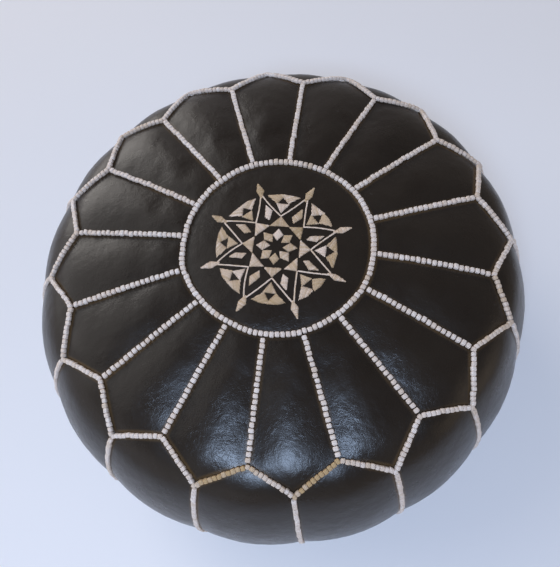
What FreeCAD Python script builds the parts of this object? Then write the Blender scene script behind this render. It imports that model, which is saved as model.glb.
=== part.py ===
# Round leather pouf: a sewn cover of a medallion, petals, side panels and a zipped base,
# with thread seams, an embroidered star, an inner bag and its stuffing.
# Millimetres, +Z up, origin at the middle of the underside.
import FreeCAD
import Part
import math
import os
import re
import Sketcher

Vector = FreeCAD.Vector

# Driving dimensions, in millimetres or degrees except the counts.
sizes = {
    # outline of the filled cover, taken halfway across a panel
    "cover_height": 285,
    "cover_radius": 270,
    "equator_height": 144,
    "dome_radius": 1000,
    "side_radius": 200,
    "flat_radius": 178,
    "foot_seam_angle": 26,
    # leather panels
    "panel_count": 16,
    "medallion_radius": 95.5,
    "valley_radius": 215,
    "peak_radius": 240,
    "notch_depth": 65,
    "leather_thick": 2,
    "seam_gap": 0.6,
    "gap_angle": 0.2,
    # overcast thread seams, standing proud of the leather
    "seam_width": 6,
    "seam_rise": 2.4,
    # embroidered star: radii, and angles from the tip's direction or from midway to the next
    "star_points": 8,
    "thread_rise": 0.8,
    "star_across": -1.6,
    "star_along": -4.5,
    "tip_end": 77.5,
    "tip_waist": 67,
    "tip_base": 58.5,
    "tip_turn": 3.2,
    "line_start": 58,
    "line_end": 34.4,
    "line_inner_turn": 0.15,
    "line_outer_turn": 1.35,
    "line_meet_turn": 22.4,
    "line_part_turn": 20.4,
    "ring_apex": 33.7,
    "ring_corner": 24.6,
    "ring_turn": 21.5,
    "lozenge_far": 48.5,
    "lozenge_wide": 40.5,
    "lozenge_near": 30.5,
    "lozenge_back": 35.5,
    "lozenge_far_turn": 3,
    "lozenge_wide_turn": 9,
    "lozenge_near_turn": 2.5,
    "lozenge_back_turn": 4,
    "outer_corner": 60,
    "outer_middle": 59,
    "outer_notch": 50.2,
    "outer_shelf": 49.4,
    "outer_apex": 39.5,
    "outer_turn": 16.4,
    "middle_turn": 0.6,
    "notch_turn": 6.6,
    "shelf_turn": 6.4,
    "heart_far": 20,
    "heart_side": 14,
    "heart_near": 6.5,
    "heart_turn": 21,
    # zip across the base
    "zip_opening": 13,
    "patch_start": 162,
    "hem_width": 14,
    "hem_rise": 4,
    "chain_length": 300,
    "tooth_pitch": 4,
    "tooth_width": 2.6,
    "tooth_reach": 1.9,
    "tooth_thick": 2,
    "tooth_inset": 0.5,
    "tape_thick": 0.8,
    "tape_width": 17,
    "stop_length": 3,
    "slider_length": 13,
    "slider_width": 9.6,
    "slider_rest": 142,
    "plate_thick": 0.8,
    "lip_width": 0.8,
    "web_width": 0.5,
    "slider_clear": 0.3,
    "arch_drop": 2.4,
    "tab_length": 32,
    "tab_width": 7,
    "tab_thick": 1,
    "arm_width": 1.8,
    "arch_half": 4.2,
    "arch_width": 1.8,
    "arch_thick": 0.7,
    "pin_radius": 0.5,
    "window_length": 5,
    "tab_hole": 1.4,
    # inner bag and stuffing
    "bag_inset": 3.5,
    "bag_floor": 10.5,
    "bag_thick": 1.5,
    "fill_inset": 5.5,
}


class Arc:
    """One arc of the outline. Its angles run from straight up towards the rim."""

    def __init__(self, centre, radius, start, end, across, up, size):
        self.centre = centre
        self.radius = radius
        self.start = start
        self.end = end
        # formulas for the centre's two coordinates and for the radius
        self.across = across
        self.up = up
        self.size = size

    def edge(self, inset, start, end):
        circle = Part.Circle(self.centre, Vector(0, 0, 1), self.radius - inset)
        return Part.ArcOfCircle(circle, math.pi / 2 - end, math.pi / 2 - start)

    def angle_at(self, across):
        return math.asin((across - self.centre.x) / self.radius)


def foot_height(floor, inset):
    """Height of the centre of a foot arc tangent to the side arc and to the floor."""
    across = sizes["cover_radius"] - sizes["side_radius"] - sizes["flat_radius"]
    drop = sizes["equator_height"] - floor
    side = sizes["side_radius"] - inset
    return floor + (side ** 2 - across ** 2 - drop ** 2) / (2 * (side - drop))


def dome_slope():
    return math.asin(sizes["valley_radius"] / sizes["dome_radius"])


def dome_middle():
    return Vector(0, sizes["cover_height"] - sizes["dome_radius"], 0)


def side_middle():
    return Vector(sizes["cover_radius"] - sizes["side_radius"], sizes["equator_height"], 0)


def shoulder_radius():
    """Radius of the arc that leaves the dome at the valley and runs into the side arc."""
    out = Vector(math.sin(dome_slope()), math.cos(dome_slope()), 0)
    reach = side_middle() - dome_middle() - out * sizes["dome_radius"]
    side = sizes["side_radius"]
    return (side ** 2 - reach.Length ** 2) / (2 * (reach.dot(out) + side))


def zigzag_shift():
    """How far the zigzag seam's edge lies from its middle, measured along a radius."""
    half = math.pi / sizes["panel_count"]
    rise = sizes["valley_radius"] * math.sin(half)
    run = sizes["peak_radius"] - sizes["valley_radius"] * math.cos(half)
    return sizes["seam_width"] / 2 * math.hypot(run, rise) / rise


# Sizes that follow from the driving ones, kept in the sheet beside them.
sizes["shoulder_radius"] = shoulder_radius()
sizes["foot_height"] = foot_height(0, 0)
sizes["bag_foot_height"] = foot_height(sizes["bag_floor"], sizes["bag_inset"])
sizes["zigzag_shift"] = zigzag_shift()


def outline(foot_cell):
    """The dome, shoulder, side and foot arcs, tangent to one another."""
    slope = dome_slope()
    out = Vector(math.sin(slope), math.cos(slope), 0)
    shoulder_middle = dome_middle() + out * (sizes["dome_radius"] - sizes["shoulder_radius"])
    foot_middle = Vector(sizes["flat_radius"], sizes[foot_cell], 0)
    turn_way = shoulder_middle - side_middle()
    tuck_way = foot_middle - side_middle()
    turn = math.atan2(turn_way.x, turn_way.y)
    tuck = math.atan2(tuck_way.x, tuck_way.y)
    step = "(dome_radius - shoulder_radius)"
    tilt = "valley_radius / dome_radius"
    return {
        "dome": Arc(
            dome_middle(), sizes["dome_radius"], 0, slope,
            None, "cover_height - dome_radius", "dome_radius",
        ),
        "shoulder": Arc(
            shoulder_middle, sizes["shoulder_radius"], slope, turn,
            "%s * %s" % (step, tilt),
            "cover_height - dome_radius + %s * sqrt(1 - (%s) ^ 2)" % (step, tilt),
            "shoulder_radius",
        ),
        "side": Arc(
            side_middle(), sizes["side_radius"], turn, tuck,
            "cover_radius - side_radius", "equator_height", "side_radius",
        ),
        "foot": Arc(
            foot_middle, sizes["side_radius"] - tuck_way.Length, tuck, math.pi,
            "flat_radius", foot_cell, foot_cell,
        ),
    }


document = FreeCAD.newDocument("LeatherPouf")
sheet = document.addObject("Spreadsheet::Sheet", "Sizes")
for row, (name, value) in enumerate(sizes.items(), start=1):
    sheet.set("A%d" % row, name)
    sheet.set("B%d" % row, "%.6f" % value)
    sheet.setAlias("B%d" % row, name)
document.recompute()

cover = outline("foot_height")
bag = outline("bag_foot_height")
half_turn = 180 / sizes["panel_count"]
full_turn = 360 / sizes["panel_count"]
star_half = 180 / sizes["star_points"]
tape_foot = "leather_thick + hem_rise"
kept = []


def cells(formula):
    """The formula with each name of a size pointing at its cell."""
    return re.sub(r"\b([a-z]+_[a-z_]+)\b", r"Sizes.\1", formula)


def keep(thing, label, turn=0.0):
    """Give a finished sub-part its label, and turn it about the upright axis."""
    thing.Label = label
    if turn:
        thing.Placement = FreeCAD.Placement(Vector(), FreeCAD.Rotation(Vector(0, 0, 1), turn))
    kept.append(thing)


# Sketches and features


def new_body(name):
    body = document.addObject("PartDesign::Body", name)
    body.AllowCompound = True
    return body


def origin_item(body, role):
    return [item for item in body.Origin.OriginFeatures if item.Role == role][0]


def new_sketch(body, role, height="0", turn=0.0):
    """A sketch on one of the body's own planes, lifted and turned if asked."""
    sketch = body.newObject("Sketcher::SketchObject", body.Name + "Sketch")
    sketch.AttachmentSupport = [(origin_item(body, role), "")]
    sketch.MapMode = "FlatFace"
    spin = FreeCAD.Rotation(Vector(0, 0, 1), turn)
    sketch.AttachmentOffset = FreeCAD.Placement(Vector(), spin)
    if height != "0":
        sketch.setExpression("AttachmentOffset.Base.z", cells(height))
    return sketch


def join(sketch, kind, *references):
    sketch.addConstraint(Sketcher.Constraint(kind, *references))


def bind(sketch, kind, references, value, formula):
    """Add a dimension and bind it to the sheet."""
    index = sketch.addConstraint(Sketcher.Constraint(kind, *references, value))
    sketch.setExpression("Constraints[%d]" % index, cells(formula))


def bind_from_origin(sketch, kind, geometry, point, value, formula):
    """Distance of a point from the origin, drawn the way that keeps it positive."""
    if value < 0:
        bind(sketch, kind, (geometry, point, -1, 1), -value, "-(" + formula + ")")
    else:
        bind(sketch, kind, (-1, 1, geometry, point), value, formula)


def draw_chain(sketch, arcs, inset, start, end):
    """Draw arcs one after another, the first and last cut at the given angles."""
    drawn = []
    for arc in arcs:
        first = start if arc is arcs[0] else arc.start
        last = end if arc is arcs[-1] else arc.end
        drawn.append(sketch.addGeometry(arc.edge(inset, first, last), False))
    return drawn


def fix_chain(sketch, arcs, drawn, inset, inset_formula):
    """Place the arcs' centres, size the first arc, and keep the rest tangent to it."""
    for arc, index in zip(arcs, drawn):
        if arc.across is None:
            join(sketch, "PointOnObject", index, 3, -2)
        else:
            bind_from_origin(sketch, "DistanceX", index, 3, arc.centre.x, arc.across)
        bind_from_origin(sketch, "DistanceY", index, 3, arc.centre.y, arc.up)
    size_chain(sketch, arcs, drawn, inset, inset_formula)


def size_chain(sketch, arcs, drawn, inset, inset_formula):
    radius = arcs[0].radius - inset
    bind(sketch, "Radius", (drawn[0],), radius, "%s - (%s)" % (arcs[0].size, inset_formula))
    for before, after in zip(drawn, drawn[1:]):
        join(sketch, "Tangent", before, 1, after, 2)


def join_line(sketch, first, first_point, second, second_point):
    """A line from one drawn point to another."""
    ends = sketch.getPoint(first, first_point), sketch.getPoint(second, second_point)
    line = sketch.addGeometry(Part.LineSegment(*ends), False)
    join(sketch, "Coincident", line, 1, first, first_point)
    join(sketch, "Coincident", line, 2, second, second_point)
    return line


class Cut:
    """Where a skin ends: an angle along its arc, and the radius there with its formula."""

    def __init__(self, angle, across, formula):
        self.angle = angle
        self.across = across
        self.formula = formula


apex = Cut(0, 0, None)


def cut_at(arc, across, formula):
    return Cut(arc.angle_at(across), across, formula)


def foot_cut(shift, shift_formula):
    """A cut on the foot arc, shifted along it from the seam to the base."""
    arc = cover["foot"]
    angle = math.pi - math.radians(sizes["foot_seam_angle"]) + shift / arc.radius
    across = arc.centre.x + arc.radius * math.sin(angle)
    turn = "foot_seam_angle - (%s) / foot_height * 180 / pi" % shift_formula
    return Cut(angle, across, "flat_radius + foot_height * sin((%s) * 1 deg)" % turn)


def skin_sketch(body, arcs, start, end, insets=None, formulas=None):
    """Section of a skin that follows the outline between two cuts square to it."""
    outer_inset, inner_inset = insets or (0.0, sizes["leather_thick"])
    outer_formula, inner_formula = formulas or ("0", "leather_thick")
    sketch = new_sketch(body, "XZ_Plane")
    outer = draw_chain(sketch, arcs, outer_inset, start.angle, end.angle)
    inner = draw_chain(sketch, arcs, inner_inset, start.angle, end.angle)
    fix_chain(sketch, arcs, outer, outer_inset, outer_formula)
    for above, below in zip(outer, inner):
        join(sketch, "Coincident", above, 3, below, 3)
    size_chain(sketch, arcs, inner, inner_inset, inner_formula)
    first_cut = join_line(sketch, outer[0], 2, inner[0], 2)
    if start.formula is None:
        join(sketch, "PointOnObject", outer[0], 2, -2)
        join(sketch, "PointOnObject", inner[0], 2, -2)
    else:
        join(sketch, "PointOnObject", outer[0], 3, first_cut)
        bind_from_origin(sketch, "DistanceX", outer[0], 2, start.across, start.formula)
    if end.formula is None:
        return sketch, outer[-1], inner[-1]
    last_cut = join_line(sketch, outer[-1], 1, inner[-1], 1)
    join(sketch, "PointOnObject", outer[-1], 3, last_cut)
    bind_from_origin(sketch, "DistanceX", outer[-1], 1, end.across, end.formula)
    return sketch


def floor_line(sketch, arc):
    """Run the foot arc's end level to the axis."""
    start = sketch.getPoint(arc, 1)
    line = sketch.addGeometry(Part.LineSegment(start, Vector(0, start.y, 0)), False)
    join(sketch, "Tangent", arc, 1, line, 1)
    join(sketch, "Horizontal", line)
    join(sketch, "PointOnObject", line, 2, -2)
    return line


def revolve(body, sketch, formula="360", midplane=True):
    turned = body.newObject("PartDesign::Revolution", body.Name + "Turned")
    turned.Profile = sketch
    turned.ReferenceAxis = (sketch, ["V_Axis"])
    turned.Midplane = midplane
    turned.setExpression("Angle", cells(formula))
    return turned


def pad(body, sketch, formula, symmetric=False):
    padded = body.newObject("PartDesign::Pad", body.Name + "Padded")
    padded.Profile = sketch
    if symmetric:
        padded.SideType = "Symmetric"
    padded.setExpression("Length", cells(formula))
    return padded


def pocket(body, sketch, formula=None):
    """Cut down from the sketch by a depth, or up from it through everything."""
    cut = body.newObject("PartDesign::Pocket", body.Name + "Cut")
    cut.Profile = sketch
    if formula:
        cut.setExpression("Length", cells(formula))
    else:
        cut.Type = "ThroughAll"
        cut.Reversed = True
    return cut


def repeat_round(body, feature, formula):
    pattern = body.newObject("PartDesign::PolarPattern", body.Name + "Round")
    pattern.Originals = [feature]
    pattern.Axis = (origin_item(body, "Z_Axis"), [""])
    pattern.Angle = 360
    pattern.setExpression("Occurrences", cells(formula))
    body.Tip = pattern


def draw_polygon(sketch, corners):
    """A closed polygon. corners are (x, y, x formula, y formula)."""
    points = [Vector(x, y, 0) for x, y, across, up in corners]
    lines = [
        sketch.addGeometry(Part.LineSegment(here, there), False)
        for here, there in zip(points, points[1:] + points[:1])
    ]
    for before, after in zip(lines, lines[1:] + lines[:1]):
        join(sketch, "Coincident", before, 2, after, 1)
    for line, (x, y, across, up) in zip(lines, corners):
        bind_from_origin(sketch, "DistanceX", line, 1, x, across)
        if y == 0:
            join(sketch, "PointOnObject", line, 1, -1)
        else:
            bind_from_origin(sketch, "DistanceY", line, 1, y, up)


def draw_chevron(sketch, tip, end, far, shift, shift_formula):
    """A V between two radii half a panel apart, run past its ends and closed far away."""
    half = math.pi / sizes["panel_count"]
    over = 1.15  # the arms' length, as a share of the way between the radii
    half_formula = "(180 / panel_count * 1 deg)"
    tip_x = sizes[tip] + shift
    arm_x = sizes[tip] + over * (sizes[end] * math.cos(half) - sizes[tip]) + shift
    arm_y = over * sizes[end] * math.sin(half)
    far_x = far * sizes["cover_radius"]
    tip_formula = "%s + (%s)" % (tip, shift_formula)
    arm_formula = "%s + %s * (%s * cos%s - %s) + (%s)" % (
        tip, over, end, half_formula, tip, shift_formula
    )
    up_formula = "%s * %s * sin%s" % (over, end, half_formula)
    down_formula = "-(%s)" % up_formula
    far_formula = "%s * cover_radius" % far
    draw_polygon(sketch, [
        (tip_x, 0, tip_formula, "0"),
        (arm_x, arm_y, arm_formula, up_formula),
        (far_x, arm_y, far_formula, up_formula),
        (far_x, -arm_y, far_formula, down_formula),
        (arm_x, -arm_y, arm_formula, down_formula),
    ])


# How far in or out a V's far side lies, as shares of the cover's radius.
inside = 0.66
outside = 0.98
gap = sizes["seam_gap"] / 2
wedge = "360 / panel_count - gap_angle"


# Leather panels


def medallion_panel():
    body = new_body("Medallion")
    end = cut_at(cover["dome"], sizes["medallion_radius"] - gap, "medallion_radius - seam_gap / 2")
    revolve(body, skin_sketch(body, [cover["dome"]], apex, end))
    keep(body, "medallion_panel")


def petal(number):
    body = new_body("Petal%02d" % number)
    start = cut_at(cover["dome"], sizes["medallion_radius"] + gap, "medallion_radius + seam_gap / 2")
    end = cut_at(cover["shoulder"], sizes["peak_radius"], "peak_radius")
    revolve(body, skin_sketch(body, [cover["dome"], cover["shoulder"]], start, end), wedge)
    point = new_sketch(body, "XY_Plane")
    draw_chevron(point, "peak_radius", "valley_radius", outside, -gap, "-seam_gap / 2")
    pocket(body, point)
    keep(body, "petal_%02d" % number, half_turn + full_turn * (number - 1))


def side_panel(number):
    body = new_body("Side%02d" % number)
    arcs = [cover["shoulder"], cover["side"], cover["foot"]]
    start = cut_at(cover["shoulder"], sizes["valley_radius"], "valley_radius")
    end = foot_cut(-gap, "-seam_gap / 2")
    revolve(body, skin_sketch(body, arcs, start, end), wedge)
    point = new_sketch(body, "XY_Plane", "cover_height")
    draw_chevron(point, "valley_radius", "peak_radius", inside, gap, "seam_gap / 2")
    pocket(body, point, "notch_depth")
    keep(body, "side_panel_%02d" % number, full_turn * (number - 1))


def rectangle(sketch, across, up):
    """A rectangle. across and up are ((low, formula), (high, formula))."""
    (left, left_formula), (right, right_formula) = across
    (low, low_formula), (high, high_formula) = up
    draw_polygon(sketch, [
        (left, low, left_formula, low_formula),
        (right, low, right_formula, low_formula),
        (right, high, right_formula, high_formula),
        (left, high, left_formula, high_formula),
    ])


def base_half(name, turn):
    """Half of the round base, with a folded hem along the zip."""
    body = new_body("Base" + name.title())
    start = foot_cut(gap, "seam_gap / 2")
    end = Cut(math.pi, sizes["flat_radius"], None)
    sketch, outer, inner = skin_sketch(body, [cover["foot"]], start, end)
    below = floor_line(sketch, outer)
    above = floor_line(sketch, inner)
    join_line(sketch, below, 2, above, 2)
    revolve(body, sketch, "180", False)
    edge = sizes["zip_opening"] / 2
    far = sizes["cover_radius"]
    strip = new_sketch(body, "XY_Plane")
    reach = (-far, "-cover_radius"), (far, "cover_radius")
    rectangle(strip, reach, ((-edge, "-zip_opening / 2"), (edge, "zip_opening / 2")))
    pocket(body, strip)
    hem = new_sketch(body, "XY_Plane", "leather_thick")
    reach = (-sizes["patch_start"], "-patch_start"), (sizes["patch_start"], "patch_start")
    deep = edge + sizes["hem_width"]
    rectangle(hem, reach, ((edge, "zip_opening / 2"), (deep, "zip_opening / 2 + hem_width")))
    pad(body, hem, "hem_rise")
    keep(body, "base_panel_" + name, turn)


def zip_end_patch(name, turn):
    """Leather patch that closes the base beyond one end of the zip."""
    body = new_body("Patch" + name.title())
    start = foot_cut(gap, "seam_gap / 2")
    end = Cut(math.pi, sizes["flat_radius"], None)
    sketch, outer, inner = skin_sketch(body, [cover["foot"]], start, end)
    lines = []
    for arc in (outer, inner):
        corner = sketch.getPoint(arc, 1)
        stop = Vector(sizes["patch_start"], corner.y, 0)
        line = sketch.addGeometry(Part.LineSegment(corner, stop), False)
        join(sketch, "Tangent", arc, 1, line, 1)
        join(sketch, "Horizontal", line)
        bind_from_origin(sketch, "DistanceX", line, 2, stop.x, "patch_start")
        lines.append(line)
    join_line(sketch, lines[0], 2, lines[1], 2)
    pad(body, sketch, "zip_opening - seam_gap", True)
    keep(body, "zip_end_patch_" + name, turn)


# Thread seams

rise = ("-seam_rise", "0")
proud = (-sizes["seam_rise"], 0.0)
half_seam = sizes["seam_width"] / 2


def ring_seam(name, label, arc, start, end):
    body = new_body(name)
    revolve(body, skin_sketch(body, [arc], start, end, proud, rise))
    keep(body, label)


def medallion_seam():
    middle = sizes["medallion_radius"]
    start = cut_at(cover["dome"], middle - half_seam, "medallion_radius - seam_width / 2")
    end = cut_at(cover["dome"], middle + half_seam, "medallion_radius + seam_width / 2")
    ring_seam("MedallionSeam", "medallion_seam", cover["dome"], start, end)


def base_seam():
    start = foot_cut(-half_seam, "-seam_width / 2")
    end = foot_cut(half_seam, "seam_width / 2")
    ring_seam("BaseSeam", "base_seam", cover["foot"], start, end)


def spoke_seams(name, label, arcs, start, end, turn):
    """One strip of thread along the outline, repeated between every two panels."""
    body = new_body(name)
    strip = pad(body, skin_sketch(body, arcs, start, end, proud, rise), "seam_width", True)
    repeat_round(body, strip, "panel_count")
    keep(body, label, turn)


def radial_seams():
    shift = sizes["zigzag_shift"] + gap
    first = sizes["medallion_radius"] + half_seam + gap
    start = cut_at(cover["dome"], first, "medallion_radius + seam_width / 2 + seam_gap / 2")
    last = sizes["valley_radius"] - shift
    end = cut_at(cover["dome"], last, "valley_radius - zigzag_shift - seam_gap / 2")
    spoke_seams("RadialSeams", "radial_seams", [cover["dome"]], start, end, 0.0)


def side_seams():
    shift = sizes["zigzag_shift"] + gap
    arcs = [cover["shoulder"], cover["side"], cover["foot"]]
    first = sizes["peak_radius"] + shift
    start = cut_at(cover["shoulder"], first, "peak_radius + zigzag_shift + seam_gap / 2")
    end = foot_cut(-half_seam - gap, "-seam_width / 2 - seam_gap / 2")
    spoke_seams("SideSeams", "side_seams", arcs, start, end, half_turn)


def zigzag_seam():
    """A ring of thread cut to a zigzag between the petals and the side panels."""
    body = new_body("ZigzagSeam")
    shift = sizes["zigzag_shift"]
    width = sizes["seam_width"]
    start = cut_at(cover["dome"], sizes["valley_radius"] - width, "valley_radius - seam_width")
    end = cut_at(cover["shoulder"], sizes["peak_radius"] + shift, "peak_radius + zigzag_shift")
    arcs = [cover["dome"], cover["shoulder"]]
    revolve(body, skin_sketch(body, arcs, start, end, proud, rise))
    within = new_sketch(body, "XY_Plane")
    draw_chevron(within, "peak_radius", "valley_radius", inside, -shift, "-zigzag_shift")
    repeat_round(body, pocket(body, within), "panel_count")
    beyond = new_sketch(body, "XY_Plane", turn=half_turn)
    draw_chevron(beyond, "valley_radius", "peak_radius", outside, shift, "zigzag_shift")
    repeat_round(body, pocket(body, beyond), "panel_count")
    keep(body, "zigzag_seam", half_turn)


# Embroidered star


def dome_layer():
    """A thin layer on top of the dome, as thick as the embroidery stands."""
    layers = []
    for name, formula in (("Over", "dome_radius + thread_rise"), ("Under", "dome_radius")):
        ball = document.addObject("Part::Sphere", "Dome" + name)
        ball.setExpression("Radius", cells(formula))
        ball.setExpression("Placement.Base.z", cells("cover_height - dome_radius"))
        layers.append(ball)
    layer = document.addObject("Part::Cut", "ThreadLayer")
    layer.Base, layer.Tool = layers
    return layer


def corner(radius, side, turn=None, midway=False):
    """A polygon's corner at a named radius, turned from the tip or from midway to the next."""
    angle = side * (sizes[turn] if turn else 0)
    formula = "%d * %s" % (side, turn) if turn else "0"
    if midway:
        angle += star_half
        formula += " + 180 / star_points"
    x = sizes[radius] * math.cos(math.radians(angle))
    y = sizes[radius] * math.sin(math.radians(angle))
    return (
        x, y,
        "%s * cos((%s) * 1 deg)" % (radius, formula),
        "%s * sin((%s) * 1 deg)" % (radius, formula),
    )


def star_shapes():
    """Each kind of stitched shape: its polygons round one of the star's points."""
    lines = [
        [
            corner("line_start", side, "line_inner_turn"),
            corner("line_start", side, "line_outer_turn"),
            corner("line_end", side, "line_meet_turn"),
            corner("line_end", side, "line_part_turn"),
        ]
        for side in (1, -1)
    ]
    wings = [
        [
            corner("outer_corner", side, "outer_turn", True),
            corner("outer_middle", side, "middle_turn", True),
            corner("outer_notch", side, "notch_turn", True),
        ]
        for side in (1, -1)
    ]
    keel = [
        corner("outer_shelf", 1, "shelf_turn", True),
        corner("outer_shelf", -1, "shelf_turn", True),
        corner("outer_apex", 1, None, True),
    ]
    return {
        "star_tips": [[
            corner("tip_end", 1),
            corner("tip_waist", 1, "tip_turn"),
            corner("tip_base", 1),
            corner("tip_waist", -1, "tip_turn"),
        ]],
        "star_lines": lines,
        "star_point_lozenges": [[
            corner("lozenge_far", -1, "lozenge_far_turn"),
            corner("lozenge_wide", -1, "lozenge_wide_turn"),
            corner("lozenge_near", -1, "lozenge_near_turn"),
            corner("lozenge_back", 1, "lozenge_back_turn"),
        ]],
        "star_outer_triangles": wings + [keel],
        "star_ring_triangles": [[
            corner("ring_apex", 1, None, True),
            corner("ring_corner", 1, "ring_turn", True),
            corner("ring_corner", -1, "ring_turn", True),
        ]],
        "star_heart_lozenges": [[
            corner("heart_far", 1, None, True),
            corner("heart_side", 1, "heart_turn", True),
            corner("heart_near", 1, None, True),
            corner("heart_side", -1, "heart_turn", True),
        ]],
    }


# Prisms of the star's shapes start below the dome's top and end above it, by this share of its radius.
prism_reach = 0.02


def star_group(label, polygons, layer):
    """One kind of shape round the whole star, which is sewn a little off the middle."""
    body = new_body(label.title().replace("_", ""))
    sketch = new_sketch(body, "XY_Plane", "cover_height - dome_radius * %s" % prism_reach)
    for polygon in polygons:
        draw_polygon(sketch, polygon)
    prisms = pad(body, sketch, "2 * dome_radius * %s" % prism_reach)
    repeat_round(body, prisms, "star_points")
    body.setExpression("Placement.Base.x", cells("star_across"))
    body.setExpression("Placement.Base.y", cells("star_along"))
    group = document.addObject("Part::Common", body.Name + "Stitched")
    group.Base = body
    group.Tool = document.copyObject(layer, True)
    keep(group, label)


# Zip


def box(name, across, along, up):
    """A box between pairs of formulas for its low and high faces."""
    block = document.addObject("Part::Box", name)
    spans = (("Length", "x", across), ("Width", "y", along), ("Height", "z", up))
    for size, axis, (low, high) in spans:
        block.setExpression(size, cells("(%s) - (%s)" % (high, low)))
        block.setExpression("Placement.Base." + axis, cells(low))
    return block


def cylinder(name, radius, height, spots, axis):
    """A cylinder whose low end is at the spots' formulas, along Y or Z."""
    rod = document.addObject("Part::Cylinder", name)
    rod.setExpression("Radius", cells(radius))
    rod.setExpression("Height", cells(height))
    if axis == "y":
        rod.Placement = FreeCAD.Placement(Vector(), FreeCAD.Rotation(Vector(1, 0, 0), -90))
    for letter, formula in zip("xyz", spots):
        rod.setExpression("Placement.Base." + letter, cells(formula))
    return rod


def fuse(name, blocks):
    whole = document.addObject("Part::MultiFuse", name)
    whole.Shapes = blocks
    return whole


tooth_reach_end = "tooth_inset + tooth_reach"
tape_middle = tape_foot + " + tape_thick / 2"
tooth_span = (
    tape_middle + " - tooth_thick / 2",
    tape_middle + " + tooth_thick / 2",
)


def mirrored(span, side):
    """A span of formulas on the given side of the zip's middle."""
    low, high = span
    return (low, high) if side > 0 else ("-(%s)" % high, "-(%s)" % low)


def zip_tape(name, side):
    span = mirrored((tooth_reach_end, tooth_reach_end + " + tape_width"), side)
    reach = ("-patch_start", "patch_start")
    keep(box("Tape" + name.title(), reach, span, (tape_foot, tape_foot + " + tape_thick")),
         "zip_tape_" + name)


def zip_teeth(name, side):
    """One row of teeth, from a single tooth repeated along the zip."""
    body = new_body("Teeth" + name.title())
    sketch = new_sketch(body, "XY_Plane", tooth_span[0])
    start = -sizes["chain_length"] / 2 + gap
    near = side * sizes["tooth_inset"]
    far = side * (sizes["tooth_inset"] + sizes["tooth_reach"])
    start_formula = "-chain_length / 2 + seam_gap / 2"
    pairs = (near, "%d * tooth_inset" % side), (far, "%d * (%s)" % (side, tooth_reach_end))
    span = ((start, start_formula), (start + sizes["tooth_width"], start_formula + " + tooth_width"))
    rectangle(sketch, span, pairs)
    tooth = pad(body, sketch, "tooth_thick")
    row_of_teeth = body.newObject("PartDesign::LinearPattern", body.Name + "Row")
    row_of_teeth.Originals = [tooth]
    row_of_teeth.Direction = (origin_item(body, "X_Axis"), [""])
    row_of_teeth.setExpression("Length", cells("chain_length - tooth_pitch"))
    row_of_teeth.setExpression("Occurrences", cells("chain_length / tooth_pitch"))
    body.Tip = row_of_teeth
    keep(body, "zip_teeth_" + name)


def zip_stops():
    """Two top stops, one on each tape, and one bottom stop across both."""
    end = "chain_length / 2"
    top = (end, end + " + stop_length")
    bottom = ("-%s - stop_length" % end, "-" + end)
    inner = ("tooth_inset", tooth_reach_end)
    blocks = [
        box("TopStopFront", top, mirrored(inner, -1), tooth_span),
        box("TopStopBack", top, inner, tooth_span),
        box("BottomStop", bottom, ("-(%s)" % tooth_reach_end, tooth_reach_end), tooth_span),
    ]
    keep(fuse("Stops", blocks), "zip_stops")


# Heights in the slider, from the tape's middle out to each plate.
plate_clear = "tooth_thick / 2 + slider_clear"
plate_low = "%s - (%s)" % (tape_middle, plate_clear)
plate_high = "%s + %s" % (tape_middle, plate_clear)
lip_low = "%s - tape_thick / 2 - slider_clear" % tape_middle
lip_high = "%s + tape_thick / 2 + slider_clear" % tape_middle
plate_foot = plate_low + " - plate_thick"
arch_foot = plate_foot + " - arch_drop"
pin_height = "%s - (arch_drop - arch_thick) / 2" % plate_foot


def zip_slider():
    """Two plates round the teeth, joined by a web, with an arch below for the pull tab."""
    reach = ("slider_rest - slider_length / 2", "slider_rest + slider_length / 2")
    width = ("-slider_width / 2", "slider_width / 2")
    lip = ("slider_width / 2 - lip_width", "slider_width / 2")
    arch = ("slider_rest - arch_half", "slider_rest + arch_half")
    arch_width = ("-arch_width / 2", "arch_width / 2")
    blocks = [
        box("LowPlate", reach, width, (plate_foot, plate_low)),
        box("HighPlate", reach, width, (plate_high, plate_high + " + plate_thick")),
        box("Web", reach, ("-web_width / 2", "web_width / 2"), (plate_foot, plate_high + " + plate_thick")),
        box("ArchBar", arch, arch_width, (arch_foot, arch_foot + " + arch_thick")),
    ]
    for side in (1, -1):
        across = mirrored(lip, side)
        blocks.append(box("LowLip", reach, across, (plate_foot, lip_low)))
        blocks.append(box("HighLip", reach, across, (lip_high, plate_high + " + plate_thick")))
        foot = "slider_rest + %d * (arch_half - arch_thick / 2)" % side
        post = (foot + " - arch_thick / 2", foot + " + arch_thick / 2")
        blocks.append(box("ArchPost", post, arch_width, (arch_foot, plate_low)))
    keep(fuse("Slider", blocks), "zip_slider")


def zip_pull_tab():
    """A flat tab with two arms and a cross pin that hangs in the slider's arch."""
    layer = (pin_height + " - tab_thick / 2", pin_height + " + tab_thick / 2")
    arm = ("tab_width / 2 - arm_width", "tab_width / 2")
    plate = ("slider_rest - tab_length + tab_width / 2", "slider_rest - window_length")
    centre = "slider_rest - tab_length + tab_width / 2"
    pin_spots = ("slider_rest", "-tab_width / 2", pin_height)
    round_spots = (centre, "0", layer[0])
    blocks = [
        cylinder("Pin", "pin_radius", "tab_width", pin_spots, "y"),
        box("TabPlate", plate, ("-tab_width / 2", "tab_width / 2"), layer),
        cylinder("TabEnd", "tab_width / 2", "tab_thick", round_spots, "z"),
    ]
    for side in (1, -1):
        reach = ("slider_rest - window_length - pin_radius", "slider_rest")
        blocks.append(box("TabArm", reach, mirrored(arm, side), layer))
    tab = document.addObject("Part::Cut", "Tab")
    tab.Base = fuse("TabWhole", blocks)
    tab.Tool = cylinder("TabHole", "tab_hole", "tab_thick", round_spots, "z")
    keep(tab, "zip_pull_tab")


# Inside


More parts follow.
